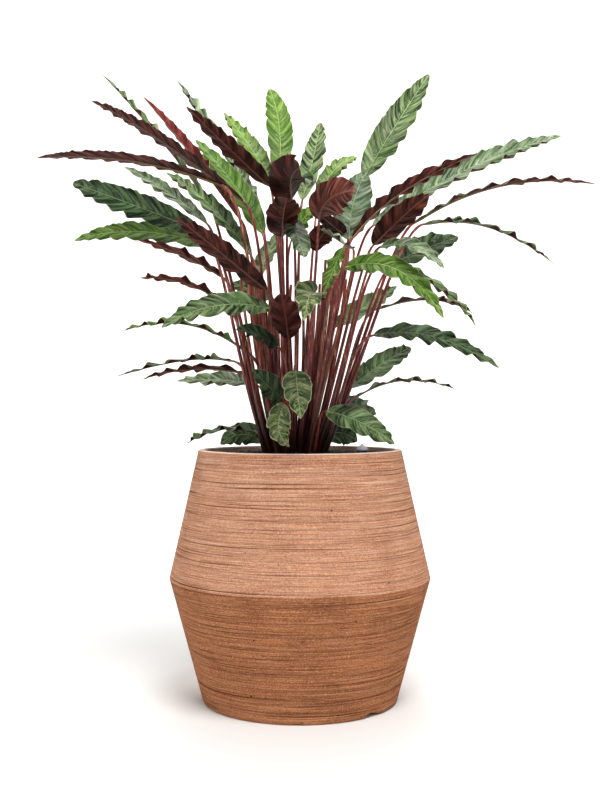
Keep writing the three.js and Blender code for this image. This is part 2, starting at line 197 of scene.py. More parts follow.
def makeClay():
    material, tree, shader = newMaterial("fired terracotta")
    place = addNode(tree, "TexCoord", out="Object")
    rise = addNode(tree, "SeparateXYZ", place, out=2)
    # painted shade: the grooves cut round the outside are painted dark by their depth
    depth = addNode(tree, "Attribute", attribute_name="grooveShade", out="Fac")
    inner = addNode(tree, "Attribute", attribute_name="inner", out="Fac")
    patch = addNode(tree, "TexNoise", place, Scale=1 / clay["patch"], Detail=4.0, Roughness=0.55)
    grain = addNode(tree, "TexNoise", place, Scale=1 / clay["grain"], Detail=3.0, Roughness=0.7)
    pits = addNode(tree, "TexVoronoi", place, Scale=1 / clay["pitCell"], out="Distance")
    comb = drawnNoise(tree, place, clay["comb"], 2.0)
    fade = drawnNoise(tree, place, clay["fade"], 3.0)
    # thin lines where a noise crosses its middle: scratches where another is high, ridges where it is low;
    # the scratches are painted dark as painted shade and the ridges pale as painted highlight
    scratch, ridge = (
        [(offMiddle(tree, drawnNoise(tree, place, clay[name], 1.0)), clay["line"], 0.0), (fade, *faded)]
        for name, faded in (("scratch", (0.4, 0.6)), ("ridge", (0.6, 0.4))))
    edge = pot["belly"] - clay["edgeWander"] / 2
    edge = addNode(tree, "Math", patch, clay["edgeWander"], edge, operation="MULTIPLY_ADD")
    over = addNode(tree, "Math", rise, edge, operation="SUBTRACT")
    # below the belly the clay is darker and browner: partly its own colour, partly painted shade of the
    # lower half, which faces down
    buff, pale, brown = (
        layered(tree, clay[low], (1.0, clay[high], (over, -clay["edgeBlur"], clay["edgeBlur"])))
        for low, high in (("shadedLowBuff", "buff"), ("shadedLowPale", "pale"), ("shadedLowBrown", "brown")))
    tint = layered(
        tree, buff, (0.3, brown, (patch, 0.42, 0.66)),
        (0.4, pale, (comb, 0.5, 0.72)), (0.4, brown, (comb, 0.5, 0.28)),
        (0.75, pale, (grain, 0.52, 0.66)), (0.75, brown, (grain, 0.48, 0.34)),
        # painted highlight on the ridge lines, painted shade in the scratch lines and, by their depth, in
        # the cut grooves
        (0.6, pale, *ridge), (0.5, brown, *scratch), (0.8, clay["grooveShade"], (depth, 0.2, 0.8)),
        (1.0, clay["pit"], (pits, clay["pitSize"], 0.7 * clay["pitSize"])),
        # painted light: the inside wall is painted toward the pale rim colour, and the top of the rim
        # carries a painted highlight
        (0.9, clay["rim"], (inner, 0.0, 1.0)), (1.0, clay["rim"], (rise, clay["rimHighlightFrom"], pot["height"])))
    lines = [shownWhere(tree, 1.0, *steps) for steps in (ridge, scratch)]
    height = addNode(tree, "Math", *lines, operation="SUBTRACT")
    for value, share in ((comb, 0.5), (grain, 1.2)):
        height = addNode(tree, "Math", value, share, height, operation="MULTIPLY_ADD")
    fillNode(tree, shader, {
        "Base Color": tint, "Roughness": addNode(tree, "MapRange", comb, 0.0, 1.0, 0.78, 0.95),
        "Normal": addNode(tree, "Bump", Strength=1.0, Distance=clay["relief"], Height=height),
        "IOR": 1.45, "Specular IOR Level": 0.06})
    return material


# pot: outline heights and radii as the part has them, and the combed grooves cut round its outside. A chip
# is its angle and half width (degrees), its height and its depth (mm)
pot = {
    "height": 383 * mm, "belly": 188 * mm, "baseR": 149 * mm, "bellyR": 200 * mm, "rimR": 156 * mm,
    "wall": 10 * mm, "floor": 12 * mm, "corner": 6 * mm, "rim": 1.6 * mm, "underR": 130 * mm, "axisR": 0.05,
    "insideZ": (0.36, 0.32, 0.26, 0.188, 0.1, 0.05), "columns": 160, "rowStep": 0.7 * mm, "grooves": 150,
    "grooved": (10 * mm, 375 * mm), "grooveDepth": (0.3 * mm, 1.5 * mm), "grooveWidth": (0.5 * mm, 0.8 * mm),
    "astray": 1.6 * mm, "wander": (0.5 * mm, 0.3 * mm),
    "chips": [(-45, 5.0, 4.6, 3.0), (-91, 3.0, 1.2, 1.2)],
}


def potRadius(z):
    return np.interp(z, [0, pot["belly"], pot["height"]], [pot["baseR"], pot["bellyR"], pot["rimR"]])


# depth of the grooves at each height and angle: a sum of narrow bells round lines that wander up and down
# by two slow sines, each fading in and out round the pot by another
def grooveDepth(z, angle):
    total = np.zeros(np.broadcast(z, angle).shape)
    for line in np.linspace(*pot["grooved"], pot["grooves"]):
        middle = line + rng.normal(0, pot["astray"])
        deep = rng.uniform(*pot["grooveDepth"]) * rng.uniform(0.3, 1)
        wide = rng.uniform(*pot["grooveWidth"])
        turns, start, fade = rng.integers(1, 5), rng.uniform(0, 6.3), rng.uniform(0, 6.3)
        first, second = pot["wander"]
        wander = first * np.sin(turns * angle + start) + second * np.sin((turns + 4) * angle + fade)
        shown = np.clip(0.55 + 0.7 * np.sin(turns * angle + fade), 0, 1)
        total = total + deep * shown * np.exp(-(((z - middle - wander) / wide) ** 2))
    return total


# what is broken off the edge of the foot, inwards and upwards: one bell in angle and height for each chip
def chipShape(z, angle):
    inward = np.zeros(np.broadcast(z, angle).shape)
    upward = np.zeros_like(inward)
    for middle, wide, high, deep in pot["chips"]:
        turn = (np.degrees(angle) - middle + 180) % 360 - 180
        bell = np.exp(-((turn / wide) ** 4) - (z / (1.3 * high * mm)) ** 2)
        inward += deep * mm * bell
        upward += high * mm * bell
    return inward, upward


# the outline runs from under the middle round the foot, up the outside, over the rim and down inside
def makePot(material):
    outside = np.arange(pot["corner"], pot["height"] - pot["rim"], pot["rowStep"])
    outside[np.argmin(abs(outside - pot["belly"]))] = pot["belly"]
    quarter = np.radians(np.linspace(0, 90, 6))
    lowZ = pot["corner"] * (1 - np.cos(quarter[:-1]))
    lowR = potRadius(pot["corner"]) - pot["corner"] * (1 - np.sin(quarter[:-1]))
    topZ = pot["height"] - pot["rim"] * (1 - np.sin(quarter))
    topR = pot["rimR"] - pot["rim"] * (1 - np.cos(quarter))
    inTop = pot["rimR"] - pot["wall"] + pot["rim"] * (1 - np.cos(quarter[::-1]))
    inside = np.array([*pot["insideZ"], pot["floor"]])
    within = potRadius(inside) - pot["wall"]
    ends = [pot["axisR"]]
    height = np.concatenate([[0, 0], lowZ, outside, topZ, topZ[::-1], inside, [pot["floor"]]])
    radius = np.concatenate([ends, [pot["underR"]], lowR, potRadius(outside), topR, inTop, within, ends])
    rings = turnedSurface(radius, height, pot["columns"])
    angle = fullTurn(pot["columns"])
    first = 2 + len(lowZ)
    last = first + len(outside)
    deep = grooveDepth(outside[:, None], angle)
    inward, upward = chipShape(height[:, None], angle)
    inward[first:last] += deep
    for change in (inward, upward):
        change[last:] = 0
        change[:2] = 0
    rings -= np.stack([inward * np.cos(angle), inward * np.sin(angle), -upward], -1)
    points, faces = closedTube(rings)
    grooveShade, inner = np.zeros((2, *rings.shape[:2]))
    # how dark each groove is painted, by its depth: painted shade
    grooveShade[first:last] = np.clip(deep / pot["grooveDepth"][1], 0, 1)
    # inner marks the inside wall, which the clay paints lighter: painted light
    inner[last + len(topZ):] = 1
    values = {"grooveShade": np.append(grooveShade, [0, 0]), "inner": np.append(inner, [0, 0])}
    piece = makePiece("potShell", points, faces, [material], values=values, sharp=32)
    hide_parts("pot")


# Granules: damp expanded clay and bark. It gives the eye rough lumps, near black, some with paler dust
granules = {
    "dark": "#1d1613", "brown": "#4a3527", "dust": "#7d6652", "lump": 9 * mm, "grain": 1.2 * mm,
    "count": 1700, "size": (2.6 * mm, 5.4 * mm), "turn": 2.39996, "astray": 1.2 * mm,
    "clear": (3 * mm, 4 * mm), "stretch": (0.7, 1.15), "dent": (0.82, 1.12), "proud": 0.15,
}
soil = {"top": 374 * mm, "edge": 369 * mm, "flat": 92 * mm, "radius": 147.5 * mm}


def makeGranuleMaterial():
    material, tree, shader = newMaterial("damp bark and clay granules")
    place = addNode(tree, "TexCoord", out="Object")
    lump, grain = (
        addNode(tree, "TexNoise", place, Scale=1 / granules[name], Detail=detail, Roughness=0.55)
        for name, detail in (("lump", 2.0), ("grain", 3.0)))
    tint = layered(tree, granules["dark"], (1.0, granules["brown"], (lump, 0.42, 0.66)),
                   (0.35, granules["dust"], (grain, 0.62, 0.8)))
    bump = addNode(tree, "Bump", Strength=0.7, Distance=0.6 * mm, Height=grain)
    fillNode(tree, shader, {"Base Color": tint, "Normal": bump, "Roughness": 0.85})
    return material


# cube of 26 points, three to an edge, and its 24 faces wound outwards
def lumpCube():
    steps = (-1, 0, 1)
    cube = [point for point in product(steps, steps, steps) if any(point)]
    quads = []
    for axis, side, p, q in product(range(3), (-1, 1), (-1, 0), (-1, 0)):
        corners = []
        for dp, dq in ((0, 0), (1, 0), (1, 1), (0, 1)):
            corner = [0, 0, 0]
            corner[axis], corner[(axis + 1) % 3], corner[(axis + 2) % 3] = side, p + dp, q + dq
            corners.append(cube.index(tuple(corner)))
        quads.append(corners if side > 0 else corners[::-1])
    return np.array(cube, float), np.array(quads)


# each granule is such a cube blown up to a ball and pushed in and out by a seeded draw, lying on the soil;
# turns by the golden angle spread them evenly
def makeGranules(material):
    cube, quads = lumpCube()
    ball = cube / np.linalg.norm(cube, axis=1, keepdims=True)
    n = granules["count"]
    angle = granules["turn"] * np.arange(n)
    reach = (soil["radius"] - granules["clear"][0]) * np.sqrt((np.arange(n) + 0.5) / n)
    middle = np.stack([reach * np.cos(angle), reach * np.sin(angle)], -1)
    middle += rng.normal(0, granules["astray"], (n, 2))
    far = np.linalg.norm(middle, axis=1)
    middle *= np.minimum(1, (soil["radius"] - granules["clear"][1]) / far)[:, None]
    far = np.linalg.norm(middle, axis=1)
    level = np.interp(far, [soil["flat"], soil["radius"]], [soil["top"], soil["edge"]])
    size = rng.uniform(*granules["size"], n)
    axes = size[:, None] * rng.uniform(*granules["stretch"], (n, 3))
    turn = np.linalg.qr(rng.normal(size=(n, 3, 3)))[0]
    turn *= np.sign(np.linalg.det(turn))[:, None, None]
    lumps = ball[None] * axes[:, None, :] * rng.uniform(*granules["dent"], (n, len(ball), 1))
    lumps = np.einsum("nij,nkj->nki", turn, lumps)
    centre = np.column_stack([middle, level + granules["proud"] * size])
    points = (lumps + centre[:, None, :]).reshape(-1, 3)
    faces = (quads[None] + len(ball) * np.arange(n)[:, None, None]).reshape(-1, 4)
    makePiece("granules", points, faces.tolist(), [material], sharp=60)


# water gauge: clear tube, grey domed cap with a painted shadow round its foot, and red-tipped float, on the
# part's own sizes
gauge = {
    "x": 98 * mm, "y": 40 * mm, "columns": 40, "tubeR": 6.9 * mm, "boreR": 5.4 * mm, "low": 12.3 * mm,
    "tubeTop": 379.2 * mm, "capR": 8.8 * mm, "capLow": 375 * mm, "domeLow": 380 * mm, "capTop": 389 * mm,
    "capWall": 1.6 * mm, "capBend": 70, "cone": 1.4, "floatR": 4.6 * mm, "floatTop": 50 * mm,
    "rodR": 1.5 * mm, "rodTop": 389.9 * mm, "axisR": 0.4 * mm, "shadowBand": "#23252c", "shadowBandTop": 380 * mm,
    "haze": 3 * mm, "scratch": 0.6 * mm,
}


# Plastic: moulded or drawn, its common name is in the call. It gives the eye an even tint with a faint
# cloudy haze and a gloss that hair scratches soften; below the given height it is darkened by a painted
# shadow
def makePlastic(name, tint, haziness, rough, clear, shadowBandTop=-1.0):
    material, tree, shader = newMaterial(name)
    place = addNode(tree, "TexCoord", out="Object")
    rise = addNode(tree, "SeparateXYZ", place, out=2)
    haze, scratch = (
        addNode(tree, "TexNoise", place, Scale=1 / gauge[name], Detail=detail, Roughness=0.55)
        for name, detail in (("haze", 3.0), ("scratch", 2.0)))
    shade = layered(tree, tint, (0.35, haziness, (haze, 0.4, 0.7)),
                    (1.0, gauge["shadowBand"], (rise, shadowBandTop + 1 * mm, shadowBandTop - 1 * mm)))
    fillNode(tree, shader, {
        "Base Color": shade, "Roughness": addNode(tree, "MapRange", haze, 0.0, 1.0, rough, rough + 0.18),
        "Normal": addNode(tree, "Bump", Strength=0.15, Distance=0.1 * mm, Height=scratch),
        "IOR": 1.49, "Transmission Weight": clear})
    return material


# a ring of material when closed is set, or else a solid whose ends are closed at the axis
def turnedPiece(name, outline, material, slot, closed=False):
    rings = turnedSurface(*np.array(outline).T, gauge["columns"]) + [gauge["x"], gauge["y"], 0]
    if closed:
        points = rings.reshape(-1, 3)
        faces = (tubeFaces(len(rings) + 1, gauge["columns"]) % len(points)).tolist()
    else:
        points, faces = closedTube(rings)
    piece = makePiece(name, points, faces, [material], sharp=40)
    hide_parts(slot)


# the cap's inner and outer dome: radius a power of the cosine, height the sine of the bend
def makeGauge():
    clear = makePlastic("clear acrylic tube", "#c9cfd2", "#59605f", 0.12, 0.75)
    grey = makePlastic("grey polypropylene cap", "#eeeef8", "#b0b1c0", 0.22, 0.0, gauge["shadowBandTop"])
    red = makePlastic("red moulded polystyrene float", "#c8321f", "#7c1a12", 0.35, 0.0)
    g = gauge
    tube = [(g["boreR"], g["low"]), (g["tubeR"], g["low"]),
            (g["tubeR"], g["tubeTop"]), (g["boreR"], g["tubeTop"])]
    turnedPiece("gaugeTube", tube, clear, "gauge_tube", closed=True)
    bend = np.radians(np.linspace(0, g["capBend"], 14))
    rise = g["capTop"] - g["domeLow"]
    outer, inner = (
        [((g["capR"] - wall) * math.cos(b) ** g["cone"], g["domeLow"] + (rise - wall) * math.sin(b))
         for b in bend] for wall in (0.0, g["capWall"]))
    cap = [*inner[::-1], (g["capR"] - g["capWall"], g["capLow"]), (g["capR"], g["capLow"]), *outer]
    turnedPiece("gaugeCap", cap, grey, "gauge_cap", closed=True)
    body = [(g["axisR"], g["low"]), (g["floatR"], g["low"]), (g["floatR"], g["floatTop"]),
            (g["rodR"], g["floatTop"] + g["floatR"]), (g["rodR"], g["rodTop"]), (g["axisR"], g["rodTop"])]
    turnedPiece("gaugeFloat", body, red, "gauge_float")


# leaves: node, neck, middle and tip of the midrib (mm), width, face, twist and fold (degrees), wave (mm),
# tone, and how much lighter (above 0) or darker it is than its height gives, partly its own tone and partly
# painted light and shade where it stands; face 0 turns the upper side to the front, 90 up and 180 to the
# back
leafRows = [
    ("leaf_01", (-115, -60, 778), (-250, -75, 812), (-392, -60, 819), 42, 100, 0, 10, 1.8, "dark", 0.3),
    ("leaf_02", (-85, -35, 758), (-214, -10, 858), (-324, 10, 923), 36, 112, 0, 8, 2.2, "dark", 0),
    ("shoot_01", (-154, 100, 792), (-238, 115, 898), (-323, 100, 991), 32, 74, 0, 16, 4.5, "mid", 0),
    ("shoot_01", (-153, 100, 748), (-224, 135, 808), (-296, 160, 852), 30, 42, 0, 10, 4, "pale", 0),
    ("leaf_03", (-95, 65, 748), (-170, 90, 849), (-256, 95, 953), 30, 128, 0, 38, 3, "red", 0.4),
    ("shoot_02", (-68, 100, 776), (-130, 145, 881), (-207, 150, 996), 44, 64, 0, 15, 5, "pale", 0),
    ("shoot_02", (-49, 60, 619), (-77, 95, 636), (-112, 125, 654), 38, 28, 0, 10, 3, "deep", 0),
    ("leaf_04", (-45, -10, 786), (-100, -75, 826), (-160, -150, 872), 36, 128, 0, 12, 4, "dark", 0),
    ("leaf_05", (-58, 0, 716), (-104, 33, 797), (-169, 80, 880), 46, 35, 8, 8, 3.5, "bright", -0.5),
    ("leaf_06", (-51, 100, 820), (-85, 160, 887), (-133, 220, 960), 44, 40, 0, 10, 4, "bright", 0),
    ("leaf_07", (-36, 70, 817), (-34, 140, 910), (-52, 190, 992), 44, 10, 0, 8, 3, "bright", 0),
    ("leaf_08", (4, 90, 784), (23, 150, 867), (35, 190, 935), 42, 28, 0, 8, 3.5, "mid", 0),
    ("leaf_09", (105, 100, 823), (157, 130, 912), (217, 150, 1006), 54, 22, -6, 10, 4.5, "mid", 0.15),
    ("leaf_10", (31, 130, 791), (59, 180, 851), (101, 240, 886), 38, 40, 0, 10, 4, "bright", 0.2),
    ("shoot_03", (76, 0, 706), (84, 30, 768), (106, 65, 824), 58, 6, 0, 8, 4, "pale", -0.7),
    ("shoot_03", (71, 10, 714), (51, -20, 724), (28, -60, 736), 26, 150, 0, 10, 3, "dark", -0.7),
    ("shoot_04", (-26, -60, 702), (-24, -120, 722), (-18, -180, 738), 50, 160, 0, 12, 5, "dark", -0.5),
    ("shoot_04", (-16, -60, 736), (-4, -110, 696), (6, -150, 660), 34, 25, 0, 10, 3.5, "pale", -0.5),
    ("leaf_11", (-13, 0, 706), (2, -10, 732), (22, -18, 752), 34, 30, 0, 10, 3.5, "bright", 0.6),
    ("leaf_12", (26, -12, 687), (30, -30, 703), (42, -50, 716), 36, 165, 0, 12, 4, "dark", -0.2),
    ("leaf_13", (28, -80, 724), (40, -155, 740), (72, -235, 738), 56, 176, 0, 16, 5.5, "brown", 0.5),
    ("leaf_14", (-12, -70, 756), (-13, -130, 773), (-1, -190, 777), 66, 160, 0, 14, 6, "dark", -0.8),
    ("leaf_15", (80, -25, 705), (157, -10, 778), (274, 0, 839), 30, 122, 4, 20, 5.5, "dark", 0.3),
    ("leaf_16", (116, 60, 737), (267, 80, 830), (420, 70, 883), 52, 54, -8, 14, 5.5, "pale", 0),
    ("shoot_05", (176, 20, 734), (308, 10, 790), (453, -10, 790), 32, 80, 14, 14, 4.5, "dark", 0),
    ("shoot_05", (83, 10, 462), (164, 30, 490), (253, 40, 473), 23, 86, 0, 10, 5.2, "mid", 0),
    ("leaf_17", (110, -50, 691), (144, -110, 720), (179, -170, 745), 42, 150, 0, 12, 4.5, "dark", 0.6),
    ("leaf_18", (188, -20, 727), (282, -45, 719), (379, -60, 661), 30, 72, 4, 12, 5.2, "deep", 0),
    ("leaf_19", (118, -90, 683), (158, -150, 674), (196, -200, 638), 34, 45, 0, 14, 4.5, "pale", 0.5),
    ("leaf_20", (148, 40, 675), (199, 60, 700), (256, 80, 722), 54, 38, 0, 14, 5, "deep", -0.5),
    ("shoot_06", (65, -100, 651), (137, -150, 642), (197, -190, 571), 40, 30, 8, 8, 3.6, "bright", 0.35),
    ("shoot_06", (62, -130, 677), (48, -155, 644), (34, -160, 609), 26, 50, -20, 16, 4, "bright", 0.35),
    ("leaf_21", (129, -40, 667), (204, -70, 626), (258, -90, 566), 27, 60, 6, 14, 5, "mid", 0.3),
    ("leaf_22", (122, 60, 604), (210, 70, 620), (280, 60, 595), 25, 88, 0, 14, 5.2, "mid", 0),
    ("leaf_23", (59, 75, 578), (108, 110, 613), (162, 150, 650), 40, 38, 0, 12, 4.5, "mid", 0.3),
    ("leaf_24", (110, -50, 556), (195, -80, 552), (288, -110, 505), 40, 48, 4, 10, 5.6, "deep", 0),
    ("leaf_25", (80, 50, 478), (128, 95, 514), (184, 140, 547), 42, 34, 0, 10, 4.5, "mid", -0.3),
    ("leaf_26", (70, 70, 454), (98, 110, 449), (128, 150, 436), 34, 45, 0, 14, 4.5, "mid", 0),
    ("leaf_27", (40, -45, 442), (89, -75, 426), (140, -70, 394), 42, 30, 0, 8, 4, "mid", 0),
    ("leaf_28", (30, 60, 393), (61, 90, 406), (94, 110, 391), 48, 30, 0, 8, 2.5, "deep", -0.3),
    ("leaf_29", (-6, -165, 500), (-3, -182, 468), (1, -190, 433), 42, 8, 0, 8, 3.5, "mid", -0.2),
    ("leaf_30", (-23, -80, 453), (-31, -108, 418), (-15, -125, 392), 36, 15, 0, 12, 4, "pale", 0.6),
    ("leaf_31", (19, -120, 611), (13, -190, 602), (5, -250, 563), 46, 5, 0, 12, 4.5, "mid", 0.3),
    ("leaf_32", (-17, -60, 550), (-21, -110, 580), (-26, -165, 608), 44, 172, 0, 8, 3, "dark", 0.2),
    ("leaf_33", (-44, -70, 594), (-121, -120, 594), (-194, -160, 560), 42, 28, 14, 8, 5.2, "mid", 0),
    ("leaf_34", (-80, -19, 532), (-173, -27, 574), (-272, -50, 560), 24, 80, 0, 12, 5.2, "bright", 0),
    ("leaf_35", (-105, 20, 520), (-178, 15, 521), (-285, -10, 494), 24, 82, 0, 12, 5.4, "mid", 0),
    ("leaf_36", (-72, 38, 497), (-158, 42, 508), (-249, 30, 491), 27, 104, 0, 14, 5, "dark", 0.6),
    ("leaf_37", (-70, 80, 483), (-125, 120, 492), (-206, 150, 491), 38, 52, 0, 14, 5, "pale", 0.7),
    ("leaf_38", (-60, 25, 404), (-116, 20, 414), (-177, 5, 391), 25, 78, 0, 10, 5.6, "mid", 0.5),
    ("leaf_39", (-60, 50, 391), (-92, 60, 404), (-127, 60, 388), 44, 35, 0, 10, 3, "deep", 0.7),
    ("leaf_40", (-27, -68, 462), (-46, -105, 479), (-69, -135, 503), 42, 35, 0, 10, 3.5, "deep", -1),
    ("leaf_41", (-32, -72, 537), (-61, -110, 553), (-90, -145, 558), 32, 45, 0, 12, 4, "deep", -1.1),
    ("leaf_42", (-50, -60, 623), (-116, -100, 674), (-175, -140, 718), 40, 140, 0, 10, 4.5, "dark", 0),
    ("leaf_43", (-149, -55, 711), (-233, -90, 740), (-326, -120, 770), 48, 28, 4, 8, 4.4, "deep", -1.1),
    ("leaf_44", (-140, -10, 695), (-242, -30, 714), (-340, -40, 699), 42, 38, 4, 8, 3, "bright", 0),
    ("leaf_45", (-77, 15, 685), (-142, 50, 767), (-217, 90, 828), 38, 46, 0, 12, 5, "mid", 0.2),
    ("leaf_46", (-118, -21, 646), (-173, -58, 674), (-238, -90, 693), 27, 112, 0, 14, 4.6, "dark", 0.8),
    ("leaf_47", (-113, -50, 604), (-169, -90, 630), (-230, -120, 634), 24, 108, 0, 14, 4.6, "dark", 1),
    ("leaf_48", (-62, 120, 667), (-55, 170, 707), (-32, 215, 749), 36, 30, 0, 10, 4, "mid", 0),
    ("leaf_49", (78, -55, 686), (56, -100, 691), (29, -140, 701), 28, 70, 0, 14, 4, "pale", 0),
]

# leaves whose tip is blunter or more drawn out than the rest: power of the way to the tip
tipFall = {"leaf_06": 0.8, "leaf_07": 0.6, "leaf_12": 0.5, "leaf_13": 0.6, "leaf_14": 0.55, "shoot_04": 0.6,
           "leaf_25": 0.55, "leaf_29": 0.98, "leaf_30": 0.95, "leaf_31": 0.95, "leaf_40": 0.9,
           "leaf_43": 0.5}
# leaves with shorter waves than the rest, and leaves with cream veins and margins
moreWaves = {"leaf_38": 5, "leaf_30": 5}
creamEdged = ("leaf_29", "leaf_30", "leaf_31")

# crown: the spot under the soil that all stalks point to, how far from it they leave the soil and how far
# from each other (mm)
crown = {"x": -12, "level": 372, "depth": 115, "radius": 48, "apart": 8.4, "mates": 4, "root": 22.5,
         "rounds": 80}

# blade and stalk, lengths in mm; uneven holds the heights and turns of two sines that put waves out of
# step, strength the least, the change and the turns of the waves' height, and otherEdge how far the second
# edge is out of step in both
blade = {
    "waveLength": 29, "fewestWaves": 4, "perWave": 16, "edge": 0.22, "middle": 0.35, "narrowest": 0.5,
    "rise": 0.55, "fall": 0.72, "lean": (0.17, 0.65, 1.3), "ahead": 0.9, "uneven": ((0.8, 9), (0.35, 23)),
    "lobe": 0.16, "ripple": 0.015, "round": 0.6, "swing": 1.1, "second": 0.12, "strength": (0.82, 0.38, 2.1),
    "frill": (0.25, 2.4), "pleat": (0.4, 5), "pleats": 2.4, "otherEdge": (2.2, 1.7), "calmBase": 6,
    "calmTip": (0.12, 0.34), "calming": 1.3,
}
stem = {"rows": 34, "ribRows": 40, "ribEnd": 0.975, "sides": 10, "foot": (2.4, 0.9, 250), "neck": 0.55,
        "rib": 0.32, "rootSwell": 0.12, "jointSwell": 0.3, "jointAt": 13, "jointLong": 6, "into": (0.25, 40),
        "sunk": 0.8}
acrossSteps = np.array([0.05, 0.13, 0.23, 0.34, 0.46, 0.58, 0.7, 0.81, 0.91, 1.0])
acrossSteps = np.concatenate([-acrossSteps[::-1], [0.0], acrossSteps])


def unit(v):
    return v / np.maximum(np.linalg.norm(v, axis=-1, keepdims=True), 1e-12)


# where the line from each end to the spot under the crown leaves the soil, from the crown's middle
def towardsCrown(ends):
    middle = np.array([crown["x"], 0.0])
    return (ends[:, :2] - middle) * (crown["depth"] / (ends[:, 2:] - crown["level"] + crown["depth"]))


# pushes feet apart in rounds, by a quarter of what they lack; the two stalks of a shoot stay close
def pushApart(feet, taken, room, rounds, mates=False):
    for _ in range(rounds):
        away = feet[:, None] - np.concatenate([feet, taken])[None]
        apart = np.linalg.norm(away, axis=-1) + 1e-9
        push = np.where(mates, crown["mates"] - apart, np.maximum(0, room - apart))
        np.fill_diagonal(push, 0)
        feet = feet + 0.25 * (away / apart[..., None] * push[..., None]).sum(1)
    return feet


# where the leaves' stalks leave the soil: drawn in to the crown, then pushed apart, as the part has it
def placeFeet():
    names = np.array([row[0] for row in leafRows])
    feet = towardsCrown(np.array([row[1] for row in leafRows], float))
    feet *= np.minimum(1, crown["radius"] / np.linalg.norm(feet, axis=1, keepdims=True))
    feet = pushApart(feet, feet[:0], crown["apart"], crown["rounds"], names[:, None] == names)
    return feet + [crown["x"], 0]


# the midrib is a parabola through neck, middle and tip, framed along it, out of the upper face and across
def ribPoint(leaf, t):
    t = np.asarray(t)[..., None]
    return (1 - t) ** 2 * leaf["neck"] + 2 * t * (1 - t) * leaf["bow"] + t ** 2 * leaf["tip"]


def ribFrame(leaf, t):
    t = np.asarray(t, float)
    s = t[..., None]
    along = unit((1 - s) * (leaf["bow"] - leaf["neck"]) + s * (leaf["tip"] - leaf["bow"]))
    ahead = np.array([0, -1.0, 0])
    ahead = unit(ahead - (along @ ahead)[..., None] * along)
    up = leaf["upSide"] * np.cross(along, ahead)
    turn = np.radians(leaf["face"] + leaf["twist"] * t)[..., None]
    normal = ahead * np.cos(turn) + up * np.sin(turn)
    return along, normal, np.cross(normal, along)


# half width, 1 at its widest: a power of the way from the base times a power of the way to the tip
def bladeOutline(t, fall):
    rise = blade["rise"]
    widest = rise / (rise + fall)
    peak = widest ** rise * (1 - widest) ** fall
    return np.maximum(t, 0) ** rise * np.maximum(1 - t, 0) ** fall / peak


# point of the blade at u (0 base, 1 tip) and a (-1 one edge, 0 rib, 1 the other). It is carried forward of
# the rib as the side veins run and folded up along the rib. Its waves are a mix of a sine and of round
# lobes with sharp crests, whose length and height change along the blade. They grow with a power of the way
# to the edge and die out at the base and before the tip. The outline swells in one lobe for each wave. Low
# pleats between the side veins, which turn into a frill at the edge, are a finer sine
def bladePoint(leaf, u, a):
    u, a = np.broadcast_arrays(np.asarray(u, float), np.asarray(a, float))
    far, other, drift = abs(a), a < 0, leaf["drift"]
    bulge = 4 * u * (1 - u)
    t = np.clip(u + leaf["lean"] * bulge * far ** blade["lean"][2], 0, 1)
    _, normal, across = ribFrame(leaf, t)
    (slow, slowTurns), (quick, quickTurns) = blade["uneven"]
    step, height = (turn * other for turn in blade["otherEdge"])
    uneven = slow * np.sin(slowTurns * u + drift + step) + quick * np.sin(quickTurns * u + 2 * drift)
    phase = 2 * math.pi * leaf["waves"] * u + other * blade["ahead"] + uneven
    half = np.maximum(leaf["width"] / 2 * bladeOutline(t, leaf["fall"]), blade["narrowest"])
    fine = np.sin(blade["pleats"] * phase)
    swell = abs(np.cos(phase / 2 + math.pi / 4))  # 0.64 on average, which is 1 / 1.57
    scallop = 1 + (blade["lobe"] * (swell - 0.64) + blade["ripple"] * fine) * bulge * far
    fade = np.minimum(1, blade["calmBase"] * u)
    fade = fade * np.minimum(1, (1 - u) / leaf["calmTip"]) ** blade["calming"]
    least, more, turns = blade["strength"]
    strength = least + more * np.sin(drift + turns * u * leaf["waves"] + height)
    shape = (1 - blade["round"]) * np.sin(phase) + blade["round"] * (1 - 1.57 * swell)
    shape = shape + blade["second"] * np.sin(2 * phase + drift)
    (low, rising), (frill, power) = blade["pleat"], blade["frill"]
    pleat = fine * (low * np.clip(rising * far, 0, 1) + frill * far ** power)
    wave = fade * (leaf["wave"] * far ** blade["swing"] * strength * shape + pleat)
    fold = math.radians(leaf["fold"])
    flat = (half * a * scallop * math.cos(fold))[..., None] * across
    raised = (half * far * math.sin(fold) + wave)[..., None] * normal
    return ribPoint(leaf, t) + flat + raised, normal, half, phase / (2 * math.pi)


# what a row and its foot make of a leaf: a blade is painted lighter the higher it stands, a painted shade
# that darkens the low leaves, within a seeded draw
def describeLeaf(row, foot):
    names = ("node", "neck", "middle", "tip", "width", "face", "twist", "fold", "wave", "tone", "lighter")
    leaf = dict(zip(names, row))
    node = leaf["node"]
    neck, middle, tip = (np.array(leaf[name], float) for name in ("neck", "middle", "tip"))
    high = np.clip((middle[2] - 660) / 220, -1, 1)
    leaf |= {
        "neck": neck, "tip": tip, "bow": 2 * middle - (neck + tip) / 2, "drift": rng.uniform(0, 6.3),
        "shade": 0.35 * rng.uniform(-1, 1) + 0.65 * high + leaf["lighter"],
        "calmTip": rng.uniform(*blade["calmTip"]), "foot": np.array([*foot, crown["level"]]),
        "fall": tipFall.get(node, blade["fall"]), "upSide": -1.0 if tip[0] > neck[0] else 1.0,
    }
    long = np.linalg.norm(np.diff(ribPoint(leaf, np.linspace(0, 1, 61)), axis=0), axis=1).sum()
    leaf["waves"] = moreWaves.get(node, max(blade["fewestWaves"], round(long / blade["waveLength"])))
    leaf["lean"] = min(blade["lean"][0], blade["lean"][1] * leaf["width"] / long)
    thin, more, full = stem["foot"]
    leaf["footR"] = thin + more * min(1, long / full)
    leaf["neckR"] = stem["neck"] * leaf["footR"]
    return leaf


